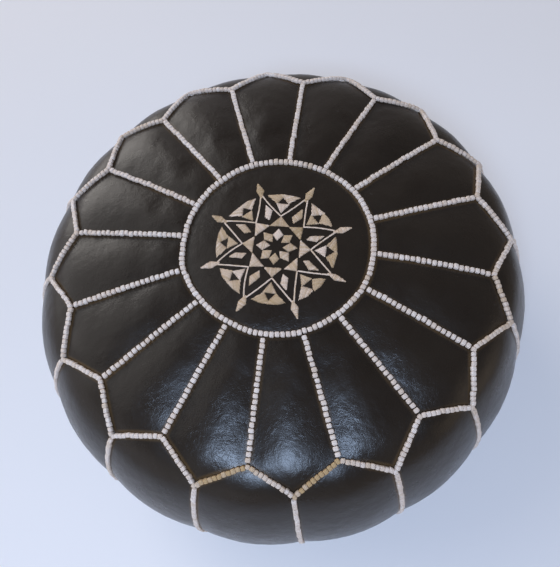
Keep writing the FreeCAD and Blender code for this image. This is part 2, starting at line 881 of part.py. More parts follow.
def inner_bag():
    body = new_body("InnerBag")
    arcs = list(bag.values())
    end = Cut(math.pi, sizes["flat_radius"], None)
    insets = (sizes["bag_inset"], sizes["bag_inset"] + sizes["bag_thick"])
    formulas = ("bag_inset", "bag_inset + bag_thick")
    sketch, outer, inner = skin_sketch(body, arcs, apex, end, insets, formulas)
    join_line(sketch, floor_line(sketch, outer), 2, floor_line(sketch, inner), 2)
    revolve(body, sketch)
    keep(body, "inner_bag")


def stuffing():
    body = new_body("Filling")
    arcs = list(bag.values())
    sketch = new_sketch(body, "XZ_Plane")
    drawn = draw_chain(sketch, arcs, sizes["fill_inset"], 0, math.pi)
    fix_chain(sketch, arcs, drawn, sizes["fill_inset"], "fill_inset")
    join(sketch, "PointOnObject", drawn[0], 2, -2)
    join_line(sketch, floor_line(sketch, drawn[-1]), 2, drawn[0], 2)
    revolve(body, sketch)
    keep(body, "stuffing")


def build():
    medallion_panel()
    for number in range(1, sizes["panel_count"] + 1):
        petal(number)
        side_panel(number)
    for name, turn in (("back", 0.0), ("front", 180.0)):
        base_half(name, turn)
    for name, turn in (("right", 0.0), ("left", 180.0)):
        zip_end_patch(name, turn)
    medallion_seam()
    radial_seams()
    zigzag_seam()
    side_seams()
    base_seam()
    layer = dome_layer()
    for label, polygons in star_shapes().items():
        star_group(label, polygons, layer)
    for name, side in (("front", -1), ("back", 1)):
        zip_tape(name, side)
        zip_teeth(name, side)
    zip_stops()
    zip_slider()
    zip_pull_tab()
    inner_bag()
    stuffing()
    document.recompute()


def check():
    """Stop before anything is written if an object failed or a shape is unsound."""
    for thing in document.Objects:
        if "Invalid" in thing.State or "Error" in thing.State:
            raise RuntimeError("%s failed: %s" % (thing.Name, thing.State))
    for thing in kept:
        if thing.Shape.isNull() or not thing.Shape.isValid():
            raise RuntimeError("%s has no sound shape" % thing.Label)


build()
check()
os.makedirs("parts", exist_ok=True)
for thing in kept:
    thing.Shape.exportStep("parts/%s.step" % thing.Label)
    print("%-22s %3d solids %12.0f mm3" % (thing.Label, len(thing.Shape.Solids), thing.Shape.Volume))
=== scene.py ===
import math
import random

import bpy
import numpy as np
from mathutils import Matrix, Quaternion, Vector, noise
from mathutils.kdtree import KDTree


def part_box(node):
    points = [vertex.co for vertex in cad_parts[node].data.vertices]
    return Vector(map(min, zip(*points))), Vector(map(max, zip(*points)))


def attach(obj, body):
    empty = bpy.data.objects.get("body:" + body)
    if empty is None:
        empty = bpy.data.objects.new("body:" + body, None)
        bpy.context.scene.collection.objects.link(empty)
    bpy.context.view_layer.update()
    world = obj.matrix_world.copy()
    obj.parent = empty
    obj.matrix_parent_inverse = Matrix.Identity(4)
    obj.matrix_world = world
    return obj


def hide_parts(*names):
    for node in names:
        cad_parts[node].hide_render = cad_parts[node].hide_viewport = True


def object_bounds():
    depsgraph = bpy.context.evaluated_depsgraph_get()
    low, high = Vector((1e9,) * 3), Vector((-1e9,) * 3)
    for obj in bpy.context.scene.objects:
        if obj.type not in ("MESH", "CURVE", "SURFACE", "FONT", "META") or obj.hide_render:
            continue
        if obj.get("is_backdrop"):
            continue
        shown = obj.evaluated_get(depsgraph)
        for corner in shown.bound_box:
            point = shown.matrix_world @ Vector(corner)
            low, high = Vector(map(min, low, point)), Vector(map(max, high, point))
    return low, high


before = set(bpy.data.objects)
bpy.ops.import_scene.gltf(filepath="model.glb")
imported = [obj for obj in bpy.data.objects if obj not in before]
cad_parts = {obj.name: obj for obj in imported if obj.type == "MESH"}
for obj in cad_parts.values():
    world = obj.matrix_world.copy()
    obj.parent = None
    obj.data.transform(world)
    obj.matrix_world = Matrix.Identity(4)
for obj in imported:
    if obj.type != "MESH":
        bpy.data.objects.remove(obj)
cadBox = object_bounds()
scene = bpy.context.scene
print("frame loaded:", len(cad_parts), "nodes")


# small helpers

def makeActive(piece):
    bpy.ops.object.select_all(action="DESELECT")
    bpy.context.view_layer.objects.active = piece
    piece.select_set(True)


def setAll(target, settings):
    for key, value in settings.items():
        setattr(target, key, value)


def finishWith(piece, kind, **settings):  # adds a modifier and applies it
    makeActive(piece)
    modifier = piece.modifiers.new(kind.title(), kind)
    setAll(modifier, settings)
    bpy.ops.object.modifier_apply(modifier=modifier.name)


def meshPiece(name, points, faces):
    mesh = bpy.data.meshes.new(name)
    mesh.from_pydata([tuple(p) for p in points], [], faces)
    mesh.update()
    mesh.shade_smooth()
    piece = bpy.data.objects.new(name, mesh)
    scene.collection.objects.link(piece)
    return piece


def pointsOf(mesh):
    flat = np.zeros(len(mesh.vertices) * 3)
    mesh.vertices.foreach_get("co", flat)
    return flat.reshape(-1, 3)


def normalsOf(mesh):
    flat = np.zeros(len(mesh.vertices) * 3)
    mesh.vertex_normals.foreach_get("vector", flat)
    return flat.reshape(-1, 3)


def setPoints(mesh, points):
    mesh.vertices.foreach_set("co", np.asarray(points, np.float32).ravel())
    mesh.update()


def setAttribute(mesh, name, values):
    attribute = mesh.attributes.get(name) or mesh.attributes.new(name, "FLOAT", "POINT")
    attribute.data.foreach_set("value", np.asarray(values, np.float32))


def setStitchMap(mesh, uv):
    layer = mesh.uv_layers.new(name="stitch")
    corner = np.zeros(len(mesh.loops), np.int32)
    mesh.loops.foreach_get("vertex_index", corner)
    layer.data.foreach_set("uv", uv[corner].astype(np.float32).ravel())


def treeOf(points):
    tree = KDTree(len(points))
    for i, spot in enumerate(points):
        tree.insert(spot, i)
    tree.balance()
    return tree


def ring(rowA, rowB, j, k):  # one face between two rows of a net
    return rowA + j, rowB + j, rowB + k, rowA + k


def primitive(kind, stretch=(1, 1, 1), **settings):
    getattr(bpy.ops.mesh, "primitive_" + kind + "_add")(**settings)
    bpy.ops.transform.resize(value=stretch)
    bpy.ops.object.transform_apply(location=True, rotation=True, scale=True)
    return bpy.context.object


def bevelAndCut(offset, cuts, **settings):  # of the active piece, with cuts across X
    bpy.ops.object.mode_set(mode="EDIT")
    bpy.ops.mesh.select_all(action="SELECT")
    if offset:
        bpy.ops.mesh.bevel(offset=offset, affect="EDGES", **settings)
    for cut in cuts:
        bpy.ops.mesh.select_all(action="SELECT")
        bpy.ops.mesh.bisect(plane_co=(cut, 0, 0), plane_no=(1, 0, 0))
    bpy.ops.object.mode_set(mode="OBJECT")


# outline of the filled cover, as arcs that meet smoothly

outline = {
    # centre across, centre up, radius, tilt from upright where the arc ends
    "arcs": [
        (0.0, -0.715, 1.0, 12.415),
        (0.204756, 0.215084, 0.0476445, 62.19),
        (0.070, 0.144, 0.200, 125.2),
        (0.178, 0.067857, 0.067857, 180.0),
    ],
    "ringRadius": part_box("medallion_seam")[1].x - 0.003,
    "valleyRadius": 0.215,
    "peakRadius": 0.240,
    "footTilt": 154.0,
    "panels": 16,
    "handWobble": 0.0011,  # how far a hand-cut seam strays
    "seed": 23,
}
footTilt = math.radians(outline["footTilt"])


def outlineTable(count=7201):
    tilts = np.radians(np.linspace(0, 180, count))
    across, up = np.zeros(count), np.zeros(count)
    low = -1.0
    for centreAcross, centreUp, radius, last in outline["arcs"]:
        here = (np.degrees(tilts) > low) & (np.degrees(tilts) <= last + 1e-9)
        across[here] = centreAcross + radius * np.sin(tilts[here])
        up[here] = centreUp + radius * np.cos(tilts[here])
        low = last
    steps = np.hypot(np.diff(across), np.diff(up))
    return tilts, across, up, np.concatenate([[0], np.cumsum(steps)])


tiltTable, acrossTable, upTable, lengthTable = outlineTable()
widest = int(acrossTable.argmax())


def skin(tilt, turn, out=0.0):  # a point on the cover, out metres off it
    tilt, turn = np.broadcast_arrays(np.asarray(tilt, float), np.asarray(turn, float))
    across = np.interp(tilt, tiltTable, acrossTable) + out * np.sin(tilt)
    up = np.interp(tilt, tiltTable, upTable) + out * np.cos(tilt)
    return np.stack([across * np.cos(turn), across * np.sin(turn), up], -1)


def skinNormal(tilt, turn):
    tilt, turn = np.broadcast_arrays(np.asarray(tilt, float), np.asarray(turn, float))
    return np.stack([np.sin(tilt) * np.cos(turn), np.sin(tilt) * np.sin(turn), np.cos(tilt)], -1)


def domeUp(reach):  # of the dome that the medallion lies on
    return upTable[0] - 1 + np.sqrt(1 - reach ** 2)


def footUp(reach):  # of the underside, rounded at its edge
    arcAcross, arcUp, arcRadius, _ = outline["arcs"][-1]
    beyond = np.clip(reach - arcAcross, 0, 0.03)
    return arcUp - np.sqrt(arcRadius ** 2 - beyond ** 2)


def tiltAtRadius(radius):  # on the upper side
    return np.interp(radius, acrossTable[:widest], tiltTable[:widest])


def lengthAtTilt(tilt):
    return np.interp(tilt, tiltTable, lengthTable)


def tiltAtLength(length):
    return np.interp(length, lengthTable, tiltTable)


# the corners of the seam pattern, each a little off where a template would put it
wobble = random.Random(outline["seed"])
panelStep = 2 * math.pi / outline["panels"]
corners = []  # turn and radius, valley then peak all the way round
for number in range(outline["panels"]):
    for part, radius in ((0.0, outline["valleyRadius"]), (0.5, outline["peakRadius"])):
        stray = outline["handWobble"]
        turn = (number + part) * panelStep + wobble.gauss(0, stray) / radius
        corners.append((turn, radius + wobble.gauss(0, stray * 1.2)))
ringStray = [wobble.gauss(0, outline["handWobble"] * 0.7) for _ in range(outline["panels"])]


def ringRadiusAt(turn):
    place = (np.asarray(turn) / panelStep) % outline["panels"]
    spots = np.arange(outline["panels"] + 1)
    return outline["ringRadius"] + np.interp(place, spots, ringStray + ringStray[:1])


def zigzagPoint(half, share):  # share of the way from corner half to the next, straight in plan
    turnA, radiusA = corners[half % len(corners)]
    turnB, radiusB = corners[(half + 1) % len(corners)]
    if half % len(corners) == len(corners) - 1:
        turnB += 2 * math.pi
    x = radiusA * np.cos(turnA) * (1 - share) + radiusB * np.cos(turnB) * share
    y = radiusA * np.sin(turnA) * (1 - share) + radiusB * np.sin(turnB) * share
    turn = np.arctan2(y, x)
    wanted = turnA + (turnB - turnA) * share
    return turn + 2 * math.pi * np.round((wanted - turn) / (2 * math.pi)), np.hypot(x, y)


# leather cover: one net of points, pinned along its seams and blown up from inside

cover = {
    "columns": 16,  # in each panel, even, so that both kinds of seam fall on one
    "petalRows": 18,
    "sideRows": 42,
    "medallionRows": 30,
    "grooveTop": 0.0030,  # how deep the stitches pull the leather in, on the dome
    "grooveSide": 0.0026,
    "lean": 0.0054,  # how far the filling has slumped to one side
    "leanTurn": 190.0,
    "crownPetal": 0.0028,  # how full each panel is before the air goes in
    "crownSide": 0.0026,
    "slumpTilts": (46, 84),  # where the slump begins and where it is whole
    "sideTilts": (20, 65),  # where the groove turns from the dome's depth to the side's
    "slack": 0.006,
    "pressure": 5.0,
    "frames": 24,
    "smoothing": 5,
    "mostSwell": {"medallion": 0.0028, "petal": 0.0042, "side": 0.0030},
    "thick": 0.002,
    "creaseDepth": 0.00022,
    "creaseFrom": 0.002,  # away from the seams, and over how far it grows
    "creaseOver": 0.008,
    "edgeReach": 0.006,  # how far beside a seam its paler edge fades
}


def easedShare(value, low, high):
    share = np.clip((value - low) / (high - low), 0, 1)
    return share * share * (3 - 2 * share)


def aboveFoot(tilt):
    return 1 - easedShare(np.degrees(tilt), 120, outline["footTilt"])


def slumpAt(tilt, turn):  # how far the whole side stands out, less than nothing on the far side
    share = easedShare(np.degrees(tilt), *cover["slumpTilts"]) * aboveFoot(tilt)
    return cover["lean"] * np.cos(turn - math.radians(cover["leanTurn"])) * share


def grooveAt(tilt, turn):  # how far the seams lie below the outline
    side = easedShare(np.degrees(tilt), *cover["sideTilts"])
    deep = (cover["grooveSide"] - cover["grooveTop"]) * side
    return (cover["grooveTop"] + deep) * aboveFoot(tilt) - slumpAt(tilt, turn)


def buildCoverNet():
    columns, panels = cover["columns"], outline["panels"]
    around = columns * panels
    half = columns // 2
    index = np.arange(around)
    share = (index % half) / half
    zigTurn, zigRadius = np.zeros(around), np.zeros(around)
    for j in index:
        zigTurn[j], zigRadius[j] = zigzagPoint(int(j) // half, share[j])
    plainTurn = index * 2 * math.pi / around
    tilts, turns = [], []

    def addRow(tilt, turn):
        tilts.append(np.broadcast_to(tilt, turn.shape))
        turns.append(turn)

    rows = cover["petalRows"]
    for i in range(rows + 1):
        part = i / rows
        turn = plainTurn * (1 - part) + zigTurn * part
        radius = ringRadiusAt(plainTurn) * (1 - part) + zigRadius * part
        addRow(tiltAtRadius(radius), turn)
    top = lengthAtTilt(tiltAtRadius(zigRadius))
    foot = lengthAtTilt(footTilt)
    rows = cover["sideRows"]
    for i in range(1, rows + 1):
        part = i / rows
        turn = zigTurn * (1 - part) + plainTurn * part
        addRow(tiltAtLength(top * (1 - part) + foot * part), turn)
    tilts, turns = np.array(tilts), np.array(turns)
    rowCount = len(tilts)
    stitched = np.zeros(tilts.shape, bool)
    petalRows = cover["petalRows"]
    crowns, most = np.zeros(tilts.shape), np.zeros(tilts.shape)
    middle = np.sin(math.pi * index / columns) ** 2
    for i in range(rowCount):
        if i < petalRows:
            crowns[i] = cover["crownPetal"] * middle ** 0.7 * math.sin(math.pi * i / petalRows) ** 0.6
            most[i] = cover["mostSwell"]["petal"]
        else:
            part = (i - petalRows) / cover["sideRows"]
            window = min(1, part / 0.16) * min(1, (1 - part) / 0.2)
            crowns[i] = cover["crownSide"] * (1 - middle) ** 0.7 * window * (2 - window)
            most[i] = cover["mostSwell"]["side"]
    stitched[0] = stitched[petalRows] = stitched[-1] = True
    stitched[:petalRows, index % columns == 0] = True
    stitched[petalRows:, index % columns == half] = True
    faces, owner = [], []
    for i in range(rowCount - 1):
        for j in index:
            k = (j + 1) % around
            faces.append(ring(i * around, (i + 1) * around, j, k))
            if i < petalRows:
                owner.append("petal_%02d" % (j // columns + 1))
            else:
                owner.append("side_panel_%02d" % (((j + half) // columns) % panels + 1))
    # medallion: a square net drawn out to a disc, so that nothing gathers in the middle
    size = cover["medallionRows"]
    grid = np.linspace(-1, 1, size + 1)
    u, v = np.meshgrid(grid, grid)
    x, y = u * np.sqrt(1 - v * v / 2), v * np.sqrt(1 - u * u / 2)
    turn = np.arctan2(y, x)
    radius = np.hypot(x, y) * ringRadiusAt(turn)
    start = tilts.size
    for a in range(size):
        for b in range(size):
            c = start + a * (size + 1) + b
            faces.append((c, c + 1, c + size + 2, c + size + 1))
            owner.append("medallion_panel")
    edge = (np.abs(u) == 1) | (np.abs(v) == 1)
    tilts = np.concatenate([tilts.ravel(), tiltAtRadius(radius).ravel()])
    turns = np.concatenate([turns.ravel(), turn.ravel()])
    stitched = np.concatenate([stitched.ravel(), edge.ravel()])
    crowns = np.concatenate([crowns.ravel(), np.zeros(radius.size)])
    most = np.concatenate([most.ravel(), np.full(radius.size, cover["mostSwell"]["medallion"])])
    return tilts, turns, faces, np.array(owner), stitched, crowns, most


fabric = {
    "quality": 5,
    "mass": 0.3,
    "pin_stiffness": 1.0,
    "tension_stiffness": 14,
    "compression_stiffness": 14,
    "shear_stiffness": 6,
    "bending_stiffness": 3,
    "air_damping": 3,
    "use_pressure": True,
}
mostInward, mostAside = 0.001, 0.002  # that any point may move


def blowUp(piece, group, settings):  # cloth with air behind it, gravity off
    makeActive(piece)
    cloth = piece.modifiers.new("Cloth", "CLOTH")
    setAll(cloth.settings, fabric)
    cloth.settings.vertex_group_mass = group
    cloth.settings.uniform_pressure_force = settings["pressure"]
    cloth.settings.shrink_min = -settings["slack"]
    cloth.settings.effector_weights.gravity = 0
    cloth.collision_settings.use_collision = False
    cloth.point_cache.frame_start, cloth.point_cache.frame_end = 1, settings["frames"]
    for number in range(1, settings["frames"] + 1):
        scene.frame_set(number)
    bpy.ops.object.modifier_apply(modifier=cloth.name)
    scene.frame_set(1)


def capSwell(mesh, rest, normals, most):
    moved = pointsOf(mesh) - rest
    out = (moved * normals).sum(1)
    aside = moved - out[:, None] * normals
    out = np.where(out > 0, most * np.tanh(out / most), out)
    out = np.maximum(out, -mostInward)
    aside *= np.minimum(1, mostAside / np.maximum(np.linalg.norm(aside, axis=1), 1e-9))[:, None]
    setPoints(mesh, rest + out[:, None] * normals + aside)


tilts, turns, netFaces, owner, stitched, crowns, mostSwell = buildCoverNet()
netNormals = skinNormal(tilts, turns)
startPoints = skin(tilts, turns, crowns - grooveAt(tilts, turns))
net = meshPiece("coverNet", startPoints, netFaces)
group = net.vertex_groups.new(name="stitched")
group.add([int(i) for i in np.nonzero(stitched)[0]], 1.0, "REPLACE")
blowUp(net, "stitched", cover)
capSwell(net.data, startPoints, netNormals, mostSwell)
finishWith(net, "SMOOTH", factor=0.5, iterations=cover["smoothing"], vertex_group="stitched",
           invert_vertex_group=True)
print("cover blown up")
netPoints = pointsOf(net.data)
swell = ((netPoints - startPoints) * netNormals).sum(1)
print("swell mm: most %.1f, mean %.1f" % (swell.max() * 1000, swell.mean() * 1000))
bpy.data.objects.remove(net)


def seamPaths():  # every seam as rows of tilt and turn, by the node that it stands for
    names = ("medallion_seam", "radial_seams", "zigzag_seam", "side_seams", "base_seam")
    paths = {name: [] for name in names}
    around = np.linspace(0, 2 * math.pi, 721)
    paths["medallion_seam"].append((tiltAtRadius(ringRadiusAt(around)), around))
    paths["base_seam"].append((np.full(around.size, footTilt), around))
    zigTilt, zigTurn = [], []
    for half in range(len(corners)):
        share = np.linspace(0, 1, 41)[:-1]
        turn, radius = zigzagPoint(half, share)
        zigTilt.append(tiltAtRadius(radius))
        zigTurn.append(turn)
    zigTilt.append(zigTilt[0][:1])
    zigTurn.append(zigTurn[0][:1] + 2 * math.pi)
    paths["zigzag_seam"].append((np.concatenate(zigTilt), np.concatenate(zigTurn)))
    part = np.linspace(0, 1, 121)
    for number in range(outline["panels"]):
        plain = number * panelStep
        turn, radius = corners[2 * number]
        radii = ringRadiusAt(plain) * (1 - part) + radius * part
        paths["radial_seams"].append((tiltAtRadius(radii), plain * (1 - part) + turn * part))
        turn, radius = corners[2 * number + 1]
        top = lengthAtTilt(tiltAtRadius(radius))
        foot = lengthAtTilt(footTilt)
        tilt = tiltAtLength(top * (1 - part) + foot * part)
        plain = (number + 0.5) * panelStep
        paths["side_seams"].append((tilt, turn * (1 - part) + plain * part))
    return paths


paths = seamPaths()
seamSpots = np.concatenate([skin(t, a, -grooveAt(t, a)) for rows in paths.values() for t, a in rows])
seamTree = treeOf(seamSpots)


def seamDistance(points):
    return np.array([seamTree.find(p)[2] for p in points])


def creaseNoise(point):  # soft crumples, metres
    place = Vector(point)
    broad = noise.fractal(place * 38, 0.9, 2.1, 3)
    fine = noise.fractal(place * 130 + Vector((3, 7, 1)), 0.8, 2.1, 2)
    return broad + fine * 0.45


def coverPiece(name):
    chosen = [netFaces[i] for i in np.nonzero(owner == name)[0]]
    used = sorted({i for face in chosen for i in face})
    order = {old: new for new, old in enumerate(used)}
    faces = [tuple(order[i] for i in face) for face in chosen]
    piece = meshPiece(name + "_leather", netPoints[used], faces)
    finishWith(piece, "SUBSURF", levels=2, boundary_smooth="PRESERVE_CORNERS")
    mesh = piece.data
    points, normals = pointsOf(mesh), normalsOf(mesh)
    away = seamDistance(points)
    fade = np.clip((away - cover["creaseFrom"]) / cover["creaseOver"], 0, 1)
    crumple = np.array([creaseNoise(p) for p in points])
    setPoints(mesh, points + normals * (crumple * fade * cover["creaseDepth"])[:, None])
    setAttribute(mesh, "seamNear", np.exp(-away / cover["edgeReach"]))
    finishWith(piece, "SOLIDIFY", thickness=cover["thick"], offset=-1, use_even_offset=True)
    piece.data.shade_smooth()
    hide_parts(name)
    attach(piece, "cover")
    return piece


leatherPieces = [coverPiece(name) for name in sorted(set(owner))]
print("cover panels:", len(leatherPieces))


# overcast stitches, one bead modelled and copied along every seam

bead = {
    "width": 0.0049,
    "length": 0.0046,
    "height": 0.0044,
    "rounding": 0.0012,
    "rise": 0.0026,  # of its middle, above the bottom of the groove
    "sideSink": 0.0021,  # pulled deeper down the side
    "sinkTilts": (45, 75),
    "seed": 5,
    "sideStray": 0.00022,
    "upStray": 0.00012,
    "leanStray": 0.07,
    "rollStray": 0.06,
    "sizeStray": 0.045,
}


def unit(rows):
    return rows / np.linalg.norm(rows, axis=1)[:, None]


def alongColumns(places, along, values):
    return np.stack([np.interp(places, along, values[:, k]) for k in range(3)], 1)


def alongPath(points, pitch, trimStart, trimEnd):
    steps = np.linalg.norm(np.diff(points, axis=0), axis=1)
    along = np.concatenate([[0], np.cumsum(steps)])
    first, last = trimStart, along[-1] - trimEnd
    count = max(1, round((last - first) / pitch))
    places = first + (np.arange(count) + 0.5) * (last - first) / count
    spots, step = alongColumns(places, along, points), pitch * 0.4
    heading = alongColumns(places + step, along, points) - alongColumns(places - step, along, points)
    return spots, unit(heading), along, places


def joinCopies(name, pattern, copies):  # one mesh of many copies: points, shade and map of each
    points, shades, maps = zip(*copies)
    each = len(pattern.data.vertices)
    faces = [tuple(p.vertices) for p in pattern.data.polygons]
    allFaces = [tuple(n * each + v for v in face) for n in range(len(points)) for face in faces]
    piece = meshPiece(name, np.concatenate(points), allFaces)
    setAttribute(piece.data, "shade", np.repeat(shades, each))
    setStitchMap(piece.data, np.concatenate(maps))
    return piece


def copyBeads(name, pattern, rows, stretch=(1, 1, 1), tone=0.0, seed=0, tones=None):
    chance = np.random.default_rng(bead["seed"] + seed)
    template = pointsOf(pattern.data)
    copies = []
    for spots, headings, normals in rows:
        local = np.zeros(len(spots)) if tones is None else tones(spots)
        marks = np.arange(0, len(spots) + 9, 9)
        slow = np.interp(np.arange(len(spots)), marks, chance.normal(0, 1, len(marks)))
        for i, (spot, heading, normal) in enumerate(zip(spots, headings, normals)):
            side = np.cross(heading, normal)
            side /= np.linalg.norm(side)
            up = np.cross(side, heading)
            lean, roll = chance.normal(0, bead["leanStray"]), chance.normal(0, bead["rollStray"])
            heading = heading + side * lean
            up = up + side * roll
            size = np.array(stretch) * (1 + chance.normal(0, bead["sizeStray"], 3))
            shaped = template * size
            place = spot + side * chance.normal(0, bead["sideStray"])
            place = place + up * chance.normal(0, bead["upStray"])
            points = place + shaped[:, :1] * side + shaped[:, 1:2] * heading + shaped[:, 2:] * up
            shade = tone + local[i] + 0.25 * slow[i] + 0.32 * chance.normal()
            across, along = template[:, 0] / bead["width"], template[:, 1] / bead["length"]
            copies.append((points, shade, np.stack([across + 0.5, along + 0.5 + i], 1)))
    return joinCopies(name, pattern, copies)


def seamPiece(name, pitch, stretch, tone, seed, trimStart=0.0, trimEnd=0.0, tones=None):
    rows = []
    sunk = bead["sideSink"] if name == "side_seams" else 0
    for tilt, turn in paths[name]:
        low = sunk * easedShare(np.degrees(tilt), *bead["sinkTilts"])
        points = skin(tilt, turn, bead["rise"] - low - grooveAt(tilt, turn))
        spots, headings, along, places = alongPath(points, pitch, trimStart, trimEnd)
        rows.append((spots, headings, unit(alongColumns(places, along, skinNormal(tilt, turn)))))
    piece = copyBeads(name + "_stitches", beadPattern, rows, stretch, tone, seed, tones)
    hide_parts(name)
    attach(piece, "cover")
    return piece


# stretches of the zigzag sewn with older, yellower thread: from and to in panels, and how yellow
yellowed = [
    (10.5, 11.0, -1.7),
    (11.0, 11.5, -0.7),
    (11.5, 12.0, -1.9),
    (5.0, 5.5, -0.6),
    (14.0, 14.5, -0.5),
]


def zigzagTones(spots):
    place = (np.arctan2(spots[:, 1], spots[:, 0]) / panelStep) % outline["panels"]
    tones, fade = np.zeros(len(spots)), 0.06  # in panels
    for first, last, tone in yellowed:
        begun = np.clip((place - first) / fade + 0.5, 0, 1)
        tones += tone * begun * np.clip((last - place) / fade + 0.5, 0, 1)
    return tones


beadPattern = primitive("cube", (bead["width"], bead["length"], bead["height"]), size=1)
bevelAndCut(bead["rounding"], (), segments=2, profile=0.55)
seamPieces = [
    seamPiece("medallion_seam", 0.0052, (1.06, 0.99, 1.0), 0.2, 1),
    seamPiece("radial_seams", 0.0053, (1.0, 0.99, 1.0), 0.3, 2, 0.0036, 0.0030),
    seamPiece("zigzag_seam", 0.0046, (0.96, 0.97, 0.95), 0.1, 3, tones=zigzagTones),
    seamPiece("side_seams", 0.0044, (0.96, 0.98, 0.90), 0.0, 4, 0.0034, 0.0030),
    seamPiece("base_seam", 0.0053, (1.0, 1.05, 0.9), -0.2, 5),
]
bpy.data.objects.remove(beadPattern)
print("seam stitches done")


# embroidered star, every shape filled with laid threads

star = {
    "points": 8,
    "strand": 0.00092,  # from one thread to the next
    "thick": 0.00054,
    "rise": 0.0009,
    "seed": 41,
    # corners as radius in mm and angle in degrees; "mid" shapes are turned half way to the next tip
    "shapes": {
        "star_tips": [("tip", 90, [(77.5, 0), (67, 3.1), (57.5, 0), (67, -3.1)])],
        "star_point_lozenges": [("tip", 62, [(48.5, -3), (40.5, -9), (30.5, -2.5), (35.5, 4)])],
        "star_outer_triangles": [
            ("mid", 62, [(60.0, 16.6), (60.4, 8.0), (60.0, 0), (57.6, 0), (49.4, 7.0)]),
            ("mid", -62, [(60.0, -16.6), (60.4, -8.0), (60.0, 0), (57.6, 0), (49.4, -7.0)]),
            ("mid", 0, [(49.2, 7.4), (49.2, -7.4), (38.0, 0)]),
        ],
        "star_ring_triangles": [("mid", 0, [(33.7, 0), (24.6, 21.5), (24.6, -21.5)])],
        "star_heart_lozenges": [("mid", 90, [(20, 0), (14, 21), (6.5, 0), (14, -21)])],
    },
    "lines": [(60.5, 1.0), (34.4, 22.0)],  # cords from each tip to the corners of the ring
    "cordApart": 0.00055,
    "centre": (-0.0016, -0.0045),  # sewn a little off the middle
    "cornerStray": 0.0004,
    "toneStray": 0.8,
    "turnStray": 3,
    "overlap": 0.0002,  # of each laid thread past its shape's edge
    "overlapStray": 0.00018,
    "cordStray": 0.0003,
    "cordBow": 0.0006,
}


def hatch(polygon, angle, step):  # runs of thread across a flat shape
    c, s = math.cos(angle), math.sin(angle)
    turned = np.array([(x * c + y * s, -x * s + y * c) for x, y in polygon])
    low, high = turned[:, 1].min(), turned[:, 1].max()
    count = max(2, round((high - low) / step))
    runs = []
    for i in range(count):
        level = low + (i + 0.5) * (high - low) / count
        cuts = []
        for (x1, y1), (x2, y2) in zip(turned, np.roll(turned, -1, axis=0)):
            if (y1 <= level) != (y2 <= level):
                cuts.append(x1 + (level - y1) / (y2 - y1) * (x2 - x1))
        cuts.sort()
        for a, b in zip(cuts[::2], cuts[1::2]):
            runs.append([(x * c - level * s, x * s + level * c) for x in (a, b)])
    return runs


def starSpot(radius, turn, stray):
    a = math.radians(turn)
    return (star["centre"][0] + radius * 0.001 * math.cos(a) + stray[0],
            star["centre"][1] + radius * 0.001 * math.sin(a) + stray[1])


def filledShapes(shapes, chance):  # laid threads of every shape: start, end and tone
    for number in range(star["points"]):
        for where, angle, shape in shapes:
            middle = number * 45 + (22.5 if where == "mid" else 0)
            flat = [starSpot(radius, middle + turn, chance.normal(0, star["cornerStray"], 2))
                    for radius, turn in shape]
            tone = 0.2 + chance.normal(0, star["toneStray"])
            direction = math.radians(middle + angle + chance.normal(0, star["turnStray"]))
            for first, last in hatch(flat, direction, star["strand"]):
                start, end = np.array(first), np.array(last)
                if np.linalg.norm(end - start) > 0.0005:
                    over = (end - start) / np.linalg.norm(end - start)
                    before = star["overlap"] + abs(chance.normal(0, star["overlapStray"]))
                    after = star["overlap"] + abs(chance.normal(0, star["overlapStray"]))
                    yield start - over * before, end + over * after, tone, 0.75


def cordLines(chance):  # two threads side by side, laid in short runs that bow a little
    (radiusA, turnA), (radiusB, turnB) = star["lines"]
    for number in range(star["points"]):
        for side in (1, -1):
            strays = chance.normal(0, star["cordStray"], 2), chance.normal(0, star["cordStray"], 2)
            start = np.array(starSpot(radiusA, number * 45 + side * turnA, strays[0]))
            end = np.array(starSpot(radiusB, number * 45 + side * turnB, strays[1]))
            aside = np.array([start[1] - end[1], end[0] - start[0]]) / np.linalg.norm(end - start)
            bow, tone = chance.normal(0, star["cordBow"]), 1.3 + chance.normal(0, 0.3)
            knots = [start + (end - start) * s + aside * bow * math.sin(math.pi * s)
                     for s in np.linspace(0, 1, 5)]
            for first, last in zip(knots, knots[1:]):
                over = (last - first) * 0.08
                for lane in (-0.5, 0.5):
                    shift = aside * lane * star["cordApart"]
                    yield first - over + shift, last + over + shift, tone, 0.35


def starPiece(name, runs, pattern, chance):
    template = pointsOf(pattern.data)
    copies = []
    for start, end, tone, arch in runs:
        length = np.linalg.norm(end - start)
        heading = (end - start) / length
        side = np.array([-heading[1], heading[0]])
        share = template[:, 0] + 0.5
        pinch = 0.45 + 0.55 * np.sin(math.pi * np.clip(share, 0.02, 0.98)) ** 0.4
        spot = start + share[:, None] * (end - start)
        spot = spot + side * (template[:, 1] * star["thick"] * pinch)[:, None]
        reach = np.hypot(spot[:, 0], spot[:, 1])
        hump = np.sin(math.pi * np.clip(share, 0, 1)) ** 0.5
        lift = star["rise"] * hump * min(1, length / 0.004) * arch
        lift = lift + template[:, 2] * star["thick"] * 0.8 * pinch + chance.normal(0, 0.00006)
        up = domeUp(reach) + lift + starBed(spot)
        shade = tone + chance.normal(0, 0.5)
        place = np.column_stack([share * length / 0.001, template[:, 1] * 0.5 + 0.5 + len(copies) + 1])
        copies.append((np.column_stack([spot, up]), shade, place))
    piece = joinCopies(name + "_threads", pattern, copies)
    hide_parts(name)
    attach(piece, "cover")
    return piece


medallion = next(p for p in leatherPieces if p.name.startswith("medallion"))
bedPoints = pointsOf(medallion.data)
bedTree = treeOf(bedPoints * (1, 1, 0))


